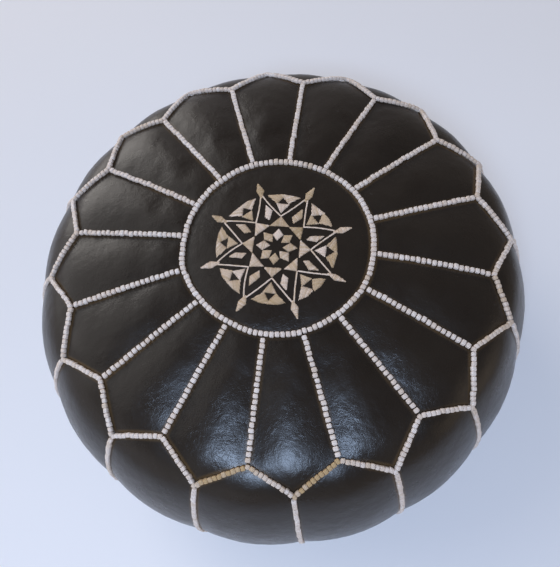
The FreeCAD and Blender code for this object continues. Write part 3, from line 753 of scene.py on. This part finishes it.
def starBed(spots):  # how far the medallion's leather stands off the dome under each spot
    lifts = []
    for x, y in spots:
        near = [bedPoints[i] for _, i, _ in bedTree.find_n((x, y, 0), 6)]
        lifts.append(max(spot[2] - domeUp(math.hypot(spot[0], spot[1])) for spot in near))
    return np.array(lifts)


# one laid thread, a metre long, cut across where it bends
strandPattern = primitive("cylinder", vertices=6, radius=1, depth=1, end_fill_type="TRIFAN",
                          rotation=(0, math.pi / 2, 0))
bevelAndCut(0, (-0.38, -0.15, 0.15, 0.38))
starChance = np.random.default_rng(star["seed"])
starPieces = [starPiece("star_lines", cordLines(starChance), strandPattern, starChance)]
for name, shapes in star["shapes"].items():
    starPieces.append(starPiece(name, filledShapes(shapes, starChance), strandPattern, starChance))
bpy.data.objects.remove(strandPattern)
print("star done")


# underside: two leather halves with a zip between them

base = {
    "edge": 0.20775,  # where the base seam runs
    "opening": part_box("base_panel_back")[0].y,  # half the width of the zip's slot
    "rows": 26,
    "thick": 0.002,
    "ripple": 0.0009,
    "hemReach": 0.162,
    "hemDeep": 0.014,
    "hemThick": 0.0040,
    "hemRounding": 0.0013,
    "hemCuts": 28,
    "hemRipple": 0.0005,
    "patchLip": 0.0006,
}


def baseHalf(name, side):
    rows = base["rows"]
    across, along = np.meshgrid(np.linspace(-1, 1, 2 * rows + 1), np.linspace(0, 1, rows + 1))
    x = base["edge"] * across * np.sqrt(1 - along ** 2 / 2)
    y = base["opening"] + (base["edge"] - base["opening"]) * along * np.sqrt(1 - across ** 2 / 2)
    reach = np.hypot(x, y)
    over = np.minimum(1, base["edge"] / reach)
    x, y, reach = x * over, y * over, reach * over
    z = footUp(reach)
    turn = np.arctan2(y, x)
    gather = np.sin(turn * 34 + 2.2 * np.sin(turn * 5)) * np.clip((reach - 0.13) / 0.07, 0, 1) ** 2
    slack = np.array([noise.fractal(Vector((a * 22, b * 22 * side, 1.7)), 1, 2, 3)
                      for a, b in zip(x.ravel(), y.ravel())]).reshape(x.shape)
    fade = np.clip((base["edge"] - reach) / 0.012, 0, 1) * np.clip((y - base["opening"]) / 0.02, 0, 1)
    z = z + base["ripple"] * fade * np.maximum(0, 0.6 * gather + 0.9 * slack)
    points = np.stack([x, y * side, z], -1).reshape(-1, 3)
    width = 2 * rows + 1
    faces = []
    for i in range(rows):
        for j in range(2 * rows):
            a = i * width + j
            quad = (a, a + width, a + width + 1, a + 1)
            faces.append(quad if side > 0 else quad[::-1])
    piece = meshPiece(name + "_leather", points, faces)
    finishWith(piece, "SUBSURF", levels=1, boundary_smooth="PRESERVE_CORNERS")
    away = seamDistance(pointsOf(piece.data))
    setAttribute(piece.data, "seamNear", np.exp(-away / cover["edgeReach"]))
    finishWith(piece, "SOLIDIFY", thickness=base["thick"], offset=-1)
    piece.data.shade_smooth()
    return piece


def hemBar(side):  # the edge folded over twice along the zip
    reach, deep, thick = base["hemReach"], base["hemDeep"], base["hemThick"]
    middle = base["opening"] + deep / 2
    bpy.ops.mesh.primitive_cube_add(size=1, location=(0, side * middle, thick))
    bar = bpy.context.object
    bpy.ops.transform.resize(value=(2 * reach, deep, thick))
    cuts = [-reach + number * reach / (base["hemCuts"] / 2) for number in range(1, base["hemCuts"])]
    bevelAndCut(base["hemRounding"], cuts, segments=3)
    bpy.ops.object.transform_apply(location=True, rotation=True, scale=True)
    points = pointsOf(bar.data)
    ripple = np.array([noise.noise(Vector((x * 60, side * 3, 0))) for x in points[:, 0]])
    points[:, 2] += base["hemRipple"] * ripple * (points[:, 2] > thick)
    setPoints(bar.data, points)
    setAttribute(bar.data, "seamNear", np.full(len(points), 0.2))
    bar.data.shade_smooth()
    return bar


for node, side in (("base_panel_back", 1), ("base_panel_front", -1)):
    half, bar = baseHalf(node, side), hemBar(side)
    makeActive(half)
    bar.select_set(True)
    bpy.ops.object.join()
    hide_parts(node)
    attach(half, "cover")
    leatherPieces.append(half)


def endPatch(node):  # closes the slot beyond one end of the zip
    low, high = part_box(node)
    patch = primitive("grid", (high.x - low.x, high.y - low.y, 1), x_subdivisions=18, y_subdivisions=5,
                      size=1, location=((low.x + high.x) / 2, 0, 0))
    patch.name = node + "_leather"
    points = pointsOf(patch.data)
    edge = (high.y - np.abs(points[:, 1])) / (high.y - low.y)
    lip = base["patchLip"] * (1 - np.minimum(1, edge * 4))
    points[:, 2] = footUp(np.hypot(points[:, 0], points[:, 1])) + lip
    setPoints(patch.data, points)
    patch.data.flip_normals()
    setAttribute(patch.data, "seamNear", np.clip(1 - edge * 3, 0, 1))
    finishWith(patch, "SOLIDIFY", thickness=base["thick"], offset=-1)
    finishWith(patch, "BEVEL", width=0.0004, segments=2, limit_method="ANGLE")
    patch.data.shade_smooth()
    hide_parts(node)
    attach(patch, "cover")
    leatherPieces.append(patch)


endPatch("zip_end_patch_right")
endPatch("zip_end_patch_left")

hemStitch = {
    "length": 0.0033,
    "thick": 0.0009,
    "pitch": 0.0042,
    "lines": (0.0035, 0.0100),  # in from the zip's slot
    "reach": 0.158,
    "up": 0.0009,
}


stitchSize = (hemStitch["thick"], hemStitch["length"], hemStitch["thick"])
stitchPattern = primitive("uv_sphere", stitchSize, segments=8, ring_count=6, radius=0.5)
count = round(2 * hemStitch["reach"] / hemStitch["pitch"])
spotsAlong = (np.arange(count) + 0.5) / count * 2 * hemStitch["reach"] - hemStitch["reach"]
hemRows = []
for side in (1, -1):
    for inset in hemStitch["lines"]:
        aside = side * (base["opening"] + inset)
        spots = np.stack([spotsAlong, np.full(count, aside), np.full(count, hemStitch["up"])], 1)
        hemRows.append((spots, np.tile([1.0, 0, 0], (count, 1)), np.tile([0, 0, -1.0], (count, 1))))
hemStitches = copyBeads("base_hem_stitches", stitchPattern, hemRows, seed=9)
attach(hemStitches, "cover")
seamPieces.append(hemStitches)
bpy.data.objects.remove(stitchPattern)
print("underside done")


# cotton bag and its wadding, inside the cover

filling = {
    "columns": 72,
    "rows": 40,
    "bagInset": 0.0075,
    "bagThick": 0.0015,
    "woolInset": 0.0105,
    "slack": 0.02,
    "pressure": 1.2,
    "frames": 14,
    "mostSwell": 0.0020,
    "lumps": 0.0045,
}


def insideForm(name, inset, floor):  # closed form that follows the cover, flat where it stands
    columns, rows = filling["columns"], filling["rows"]
    flatRadius = outline["arcs"][-1][0]
    lengths = np.linspace(0, lengthTable[-1] + flatRadius, rows + 1)
    points, normals = [], []
    for length in lengths[1:-1]:
        turn = np.arange(columns) * 2 * math.pi / columns
        if length <= lengthTable[-1]:
            tilt = float(tiltAtLength(length))
            row = skin(tilt, turn, slumpAt(tilt, turn) - inset)
        else:
            tilt = math.pi
            reach = flatRadius - (length - lengthTable[-1])
            row = np.stack([reach * np.cos(turn), reach * np.sin(turn), np.full(columns, floor)], -1)
        row[:, 2] = np.maximum(row[:, 2], floor)
        points.append(row)
        normals.append(skinNormal(tilt, turn))
    points = np.concatenate(points + [[[0, 0, upTable[0] - inset]], [[0, 0, floor]]])
    normals = np.concatenate(normals + [[[0, 0, 1]], [[0, 0, -1]]])
    top, bottom = len(points) - 2, len(points) - 1
    faces = []
    for j in range(columns):
        k = (j + 1) % columns
        faces.append((top, j, k))
        for i in range(rows - 2):
            faces.append(ring(i * columns, (i + 1) * columns, j, k))
        last = (rows - 2) * columns
        faces.append((last + k, last + j, bottom))
    return meshPiece(name, points, faces), points, normals


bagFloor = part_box("inner_bag")[0].z + 0.001
bag, bagStart, bagNormals = insideForm("inner_bag_cotton", filling["bagInset"], bagFloor)
tied = bag.vertex_groups.new(name="tied")
tied.add([len(bagStart) - 2, len(bagStart) - 1], 1.0, "REPLACE")
blowUp(bag, "tied", filling)
capSwell(bag.data, bagStart, bagNormals, filling["mostSwell"])
print("inner bag blown up")
finishWith(bag, "SUBSURF", levels=1)
finishWith(bag, "SOLIDIFY", thickness=filling["bagThick"], offset=-1)
bag.data.shade_smooth()
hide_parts("inner_bag")
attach(bag, "cover")

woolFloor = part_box("stuffing")[0].z + 0.001
wadding = insideForm("stuffing_wadding", filling["woolInset"], woolFloor)[0]
finishWith(wadding, "SUBSURF", levels=1)
woolPoints = pointsOf(wadding.data)
lumps = np.array([max(0.0, 0.5 + noise.fractal(Vector(p) * 26, 1, 2, 3)) for p in woolPoints])
setPoints(wadding.data, woolPoints - normalsOf(wadding.data) * (lumps * filling["lumps"])[:, None])
wadding.data.shade_smooth()
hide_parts("stuffing")
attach(wadding, "cover")
print("bag and wadding done")


# finishes

def fill(tree, made, inputs):  # links what comes from a node and sets the rest
    for key, value in inputs.items():
        if isinstance(value, bpy.types.NodeSocket):
            tree.links.new(value, made.inputs[key])
        else:
            made.inputs[key].default_value = value


def add(tree, kind, inputs=None, **settings):
    made = tree.nodes.new("ShaderNode" + kind)
    setAll(made, settings)
    fill(tree, made, inputs or {})
    return made


def objectPlace(tree):
    return add(tree, "TexCoord").outputs["Object"]


def cloudNoise(tree, place, scale, detail, **more):
    inputs = {"Vector": place, "Scale": scale, "Detail": detail}
    inputs.update((key.title(), value) for key, value in more.items())
    return add(tree, "TexNoise", inputs).outputs["Fac"]


def sums(tree, operation, first, second=0.0, third=0.0):
    return add(tree, "Math", {0: first, 1: second, 2: third}, operation=operation).outputs[0]


def times(tree, first, second):
    return sums(tree, "MULTIPLY", first, second)


def spreadOut(tree, value, low, high, toLow=0.0, toHigh=1.0):
    return add(tree, "MapRange", {0: value, 1: low, 2: high, 3: toLow, 4: toHigh}, clamp=True).outputs[0]


def blendColour(tree, share, first, second):
    return add(tree, "Mix", {0: share, 6: first, 7: second}, data_type="RGBA").outputs[2]


def newGroup(name, inputs, outputs):
    group = bpy.data.node_groups.new(name, "ShaderNodeTree")
    for label, kind, value in inputs:
        socket = group.interface.new_socket(label, in_out="INPUT", socket_type="NodeSocket" + kind)
        if value is not None:
            socket.default_value = value
    for label in outputs:
        group.interface.new_socket(label, in_out="OUTPUT", socket_type="NodeSocketFloat")
    start, end = group.nodes.new("NodeGroupInput"), group.nodes.new("NodeGroupOutput")
    return group, start.outputs, end.inputs


def closeGroup(group, out, *results):
    for result, socket in zip(results, out):
        group.links.new(result, socket)
    return group


def placeGroup(tree, group, inputs):
    return add(tree, "Group", inputs, node_tree=group).outputs


def bumpFrom(tree, height, strength, distance):
    inputs = {"Strength": strength, "Distance": distance, "Height": height}
    return add(tree, "Bump", inputs).outputs[0]


def newMaterial(name):
    material = bpy.data.materials.new(name)
    material.use_nodes = True
    tree = material.node_tree
    return material, tree, tree.nodes["Principled BSDF"]


def grainGroup():  # pebbled skin, fine creases, broad tone and gloss
    group, given, out = newGroup("leatherGrain", [("Vector", "Vector", None), ("Scale", "Float", 1.0)],
                                 ["Height", "Tone", "Gloss", "Scuff"])
    place = add(group, "VectorMath", {0: given["Vector"], 3: given["Scale"]}, operation="SCALE").outputs[0]
    drift = add(group, "TexNoise", {"Vector": place, "Scale": 60.0, "Detail": 2.0}).outputs["Color"]
    shift = add(group, "VectorMath", {0: drift, 3: 0.0065}, operation="SCALE").outputs[0]
    warped = add(group, "VectorMath", {0: place, 1: shift}, operation="ADD").outputs[0]
    pebble = add(group, "TexVoronoi", {"Vector": warped, "Scale": 420.0, "Smoothness": 0.7},
                 feature="SMOOTH_F1").outputs["Distance"]
    crease = cloudNoise(group, warped, 210.0, 3.0, roughness=0.55, distortion=0.8)
    creaseDip = spreadOut(group, sums(group, "ABSOLUTE", sums(group, "SUBTRACT", crease, 0.5)), 0.0, 0.09)
    fine = cloudNoise(group, place, 1100.0, 2.0)
    patch = cloudNoise(group, place, 21.0, 3.0)
    patchMask = spreadOut(group, patch, 0.42, 0.66)
    height = times(group, pebble, -0.4)
    creaseHigh = times(group, creaseDip, sums(group, "MULTIPLY_ADD", patchMask, 0.6, 0.4))
    height = sums(group, "MULTIPLY_ADD", creaseHigh, 0.5, height)
    height = sums(group, "MULTIPLY_ADD", fine, 0.12, height)
    broad = cloudNoise(group, place, 9.0, 5.0, roughness=0.6)
    gloss = cloudNoise(group, place, 34.0, 4.0, roughness=0.65)
    rub = cloudNoise(group, warped, 70.0, 5.0, roughness=0.8)
    return closeGroup(group, out, height, spreadOut(group, broad, 0.3, 0.7),
                      spreadOut(group, gloss, 0.3, 0.7), spreadOut(group, rub, 0.66, 0.78))


def threadGroup():  # strands side by side along the piece's own map, with a little fuzz
    group, given, out = newGroup("laidThread", [("Vector", "Vector", None), ("Strands", "Float", 3.0)],
                                 ["Height", "Fuzz"])
    parts = add(group, "SeparateXYZ", {0: given["Vector"]}).outputs
    lean = sums(group, "MULTIPLY_ADD", parts[0], 0.35, parts[1])
    strands = times(group, lean, given["Strands"])
    wave = sums(group, "SINE", times(group, strands, 2 * math.pi))
    fuzz = cloudNoise(group, given["Vector"], 14.0, 3.0, roughness=0.7)
    height = sums(group, "MULTIPLY_ADD", wave, 0.5, times(group, fuzz, 0.5))
    return closeGroup(group, out, height, fuzz)


def weaveGroup():  # plain weave from two crossed waves
    group, given, out = newGroup("plainWeave", [("Vector", "Vector", None), ("Scale", "Float", 600.0)],
                                 ["Height", "Tone"])
    parts = add(group, "SeparateXYZ", {0: given["Vector"]}).outputs
    x, y, z = (sums(group, "SINE", times(group, part, given["Scale"])) for part in parts)
    height = sums(group, "ADD", times(group, x, y), times(group, y, z))
    height = sums(group, "ADD", height, times(group, z, x))
    tone = cloudNoise(group, given["Vector"], 40.0, 4.0)
    return closeGroup(group, out, height, tone)


leatherGrain, laidThread, plainWeave = grainGroup(), threadGroup(), weaveGroup()

leatherLook = {
    "dark": (0.0165, 0.0112, 0.0077, 1),
    "warm": (0.0235, 0.0165, 0.0112, 1),
    "edge": (0.115, 0.066, 0.026, 1),
    "scuffed": (0.11, 0.105, 0.095, 1),
    "rough": (0.25, 0.35),
    "specular": 0.33,
    "bump": 0.30,
    "depth": 0.00045,
}


def makeLeather():
    material, tree, shader = newMaterial("blackGoatLeather")
    place = objectPlace(tree)
    height, tone, gloss, scuff = placeGroup(tree, leatherGrain, {"Vector": place, "Scale": 1.0})
    near = add(tree, "Attribute", attribute_name="seamNear").outputs["Fac"]
    colour = blendColour(tree, tone, leatherLook["dark"], leatherLook["warm"])
    beside = spreadOut(tree, near, 0.38, 0.58)
    worn = times(tree, beside, spreadOut(tree, tone, 0.2, 0.9, 0.1, 0.8))
    colour = blendColour(tree, worn, colour, leatherLook["edge"])
    colour = blendColour(tree, times(tree, scuff, 0.35), colour, leatherLook["scuffed"])
    low, high = leatherLook["rough"]
    fill(tree, shader, {
        "Base Color": colour,
        "Roughness": spreadOut(tree, gloss, 0.0, 1.0, low, high),
        "Normal": bumpFrom(tree, height, leatherLook["bump"], leatherLook["depth"]),
        "Specular IOR Level": leatherLook["specular"],
    })
    return material


def makeThread(name, plain, dark, pale, strands, bump, depth):
    material, tree, shader = newMaterial(name)
    place = add(tree, "UVMap", uv_map="stitch").outputs[0]
    height, fuzz = placeGroup(tree, laidThread, {"Vector": place, "Strands": strands})
    shade = add(tree, "Attribute", attribute_name="shade").outputs["Fac"]
    colour = blendColour(tree, spreadOut(tree, shade, -2.0, 0.0), dark, plain)
    colour = blendColour(tree, spreadOut(tree, shade, 0.0, 1.6), colour, pale)
    # painted shade: the thread's colour is darkened in the grooves between its strands, deepest where the
    # strand height is lowest
    grooveShade = spreadOut(tree, height, -0.3, 0.5, 0.72, 1.0)
    shadow = add(tree, "CombineXYZ", {0: grooveShade, 1: grooveShade, 2: grooveShade}).outputs[0]
    colour = add(tree, "Mix", {0: 1.0, 6: colour, 7: shadow}, data_type="RGBA",
                 blend_type="MULTIPLY").outputs[2]
    fill(tree, shader, {
        "Base Color": colour,
        "Normal": bumpFrom(tree, height, bump, depth),
        "Roughness": spreadOut(tree, fuzz, 0.0, 1.0, 0.55, 0.8),
        "Sheen Weight": 0.25,
        "Sheen Roughness": 0.4,
    })
    return material


def makeWoven(name, plain, pale, scale, bump, depth):
    material, tree, shader = newMaterial(name)
    place = objectPlace(tree)
    height, tone = placeGroup(tree, plainWeave, {"Vector": place, "Scale": scale})
    colour = blendColour(tree, spreadOut(tree, tone, 0.3, 0.7), plain, pale)
    lift = bumpFrom(tree, height, bump, depth)
    fill(tree, shader, {"Base Color": colour, "Normal": lift, "Roughness": 0.85})
    return material


def makeBrass():
    material, tree, shader = newMaterial("agedBrass")
    place = objectPlace(tree)
    age = cloudNoise(tree, place, 420.0, 4.0, roughness=0.7)
    mask = spreadOut(tree, age, 0.35, 0.65)
    colour = blendColour(tree, mask, (0.30, 0.21, 0.09, 1), (0.62, 0.47, 0.21, 1))
    fill(tree, shader, {
        "Base Color": colour,
        "Roughness": spreadOut(tree, age, 0.3, 0.7, 0.5, 0.3),
        "Normal": bumpFrom(tree, age, 0.2, 0.0002),
        "Metallic": 1.0,
    })
    return material


def makeWadding():
    material, tree, shader = newMaterial("cottonWadding")
    place = objectPlace(tree)
    fibre = cloudNoise(tree, place, 160.0, 7.0, roughness=0.75, distortion=1.5)
    mask = spreadOut(tree, fibre, 0.3, 0.7)
    colour = blendColour(tree, mask, (0.62, 0.58, 0.50, 1), (0.82, 0.80, 0.75, 1))
    bump = bumpFrom(tree, fibre, 0.6, 0.002)
    fill(tree, shader, {"Base Color": colour, "Normal": bump, "Roughness": 0.95})
    return material


def dress(piece, material):
    piece.data.materials.clear()
    piece.data.materials.append(material)


goatLeather, brass = makeLeather(), makeBrass()
creamThread = makeThread("creamOvercastThread", (0.78, 0.64, 0.54, 1), (0.52, 0.34, 0.16, 1),
                         (0.90, 0.79, 0.71, 1), 3.0, 0.5, 0.0004)
starThread = makeThread("beigeSilkThread", (0.64, 0.45, 0.28, 1), (0.50, 0.33, 0.16, 1),
                        (0.84, 0.65, 0.51, 1), 1.0, 0.25, 0.0002)
for pieces, material in ((leatherPieces, goatLeather), (seamPieces, creamThread), (starPieces, starThread)):
    for piece in pieces:
        dress(piece, material)
dress(bag, makeWoven("unbleachedCotton", (0.62, 0.56, 0.46, 1), (0.74, 0.69, 0.60, 1), 5200.0, 0.3, 0.0004))
dress(wadding, makeWadding())
tape = makeWoven("darkZipTape", (0.030, 0.024, 0.020, 1), (0.055, 0.045, 0.037, 1), 6300.0, 0.4, 0.0004)
for node in ("zip_tape_front", "zip_tape_back"):
    dress(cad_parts[node], tape)
for node in ("zip_teeth_front", "zip_teeth_back", "zip_stops", "zip_slider", "zip_pull_tab"):
    dress(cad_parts[node], brass)
print("finishes done")


# floor, light and camera

stage = {
    "floor": (0.92, 0.885, 0.88, 1),
    "floorAcross": 40,
    "horizon": (0.76, 0.74, 0.77, 1),
    "shadySide": (0.34, 0.29, 0.25, 1),
    "overhead": (0.10, 0.10, 0.11, 1),
    "sideBand": (-0.5, 0.8),  # over which the horizon turns to its shady side
    "skyBand": (0.15, 0.75),  # and to what is overhead
    "lights": [
        # name, place, size, watts, colour
        ("windowLight", (-0.44, -1.06, 2.08), 0.62, 38, (0.54, 0.71, 1.0)),
        ("sideLight", (-1.3, 2.6, 1.15), 1.6, 26, (1.0, 0.95, 0.90)),
        ("roomLight", (1.9, -1.2, 0.9), 1.2, 3, (1.0, 0.80, 0.58)),
    ],
    "daylight": (0.70, 60, (54, -42)),  # strength, softness and direction in degrees
    "cameraPlace": (-0.03935, -0.31714, 0.90947),
    "cameraAim": (-0.00731, -0.03476, 0.26368),
    "cameraRoll": -9.173,
    "lens": 45.07,
}


def makeFloor():
    floor = primitive("grid", x_subdivisions=4, y_subdivisions=4, size=stage["floorAcross"])
    floor.name = "paleFloor"
    material, tree, shader = newMaterial("paleCloth")
    place = objectPlace(tree)
    tone = cloudNoise(tree, place, 2.0, 3.0)
    colour = blendColour(tree, tone, stage["floor"], tuple(c * 0.97 for c in stage["floor"][:3]) + (1,))
    fill(tree, shader, {"Base Color": colour, "Roughness": 0.9})
    dress(floor, material)
    floor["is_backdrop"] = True


def makeLights():
    for name, place, size, watts, colour in stage["lights"]:
        bpy.ops.object.light_add(type="AREA", location=place)
        light = bpy.context.object
        light.name = name
        light.data.size, light.data.energy, light.data.color = size, watts, colour
        light.rotation_euler = (Vector((0, 0, 0.15)) - Vector(place)).to_track_quat("-Z", "Y").to_euler()
    bpy.ops.object.light_add(type="SUN", location=(0, 0, 3))
    sun = bpy.context.object
    sun.name = "daylight"
    strength, softness, (lean, turn) = stage["daylight"]
    sun.data.energy, sun.data.angle = strength, math.radians(softness)
    sun.rotation_euler = (0, math.radians(-lean), math.radians(turn))
    world = scene.world or bpy.data.worlds.new("paleRoom")
    scene.world = world
    world.use_nodes = True
    tree = world.node_tree
    towards = add(tree, "SeparateXYZ", {0: add(tree, "TexCoord").outputs["Generated"]}).outputs
    shade = sums(tree, "MULTIPLY_ADD", towards[1], -0.5, towards[0])
    around = spreadOut(tree, shade, *stage["sideBand"])
    around = blendColour(tree, around, stage["horizon"], stage["shadySide"])
    upwards = spreadOut(tree, towards[2], *stage["skyBand"])
    colour = blendColour(tree, upwards, around, stage["overhead"])
    tree.links.new(colour, tree.nodes["Background"].inputs[0])
    scene.view_settings.view_transform = "Standard"


def makeCamera():
    place, aim = Vector(stage["cameraPlace"]), Vector(stage["cameraAim"])
    look = (aim - place).to_track_quat("-Z", "Y") @ Quaternion((0, 0, 1), math.radians(stage["cameraRoll"]))
    bpy.ops.object.camera_add(location=place, rotation=look.to_euler())
    camera = bpy.context.object
    camera.data.lens = stage["lens"]
    scene.camera = camera


makeFloor()
makeLights()
makeCamera()

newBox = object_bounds()
print("boxes mm:", [[round(v * 1000, 1) for v in c] for c in (*cadBox, *newBox)])
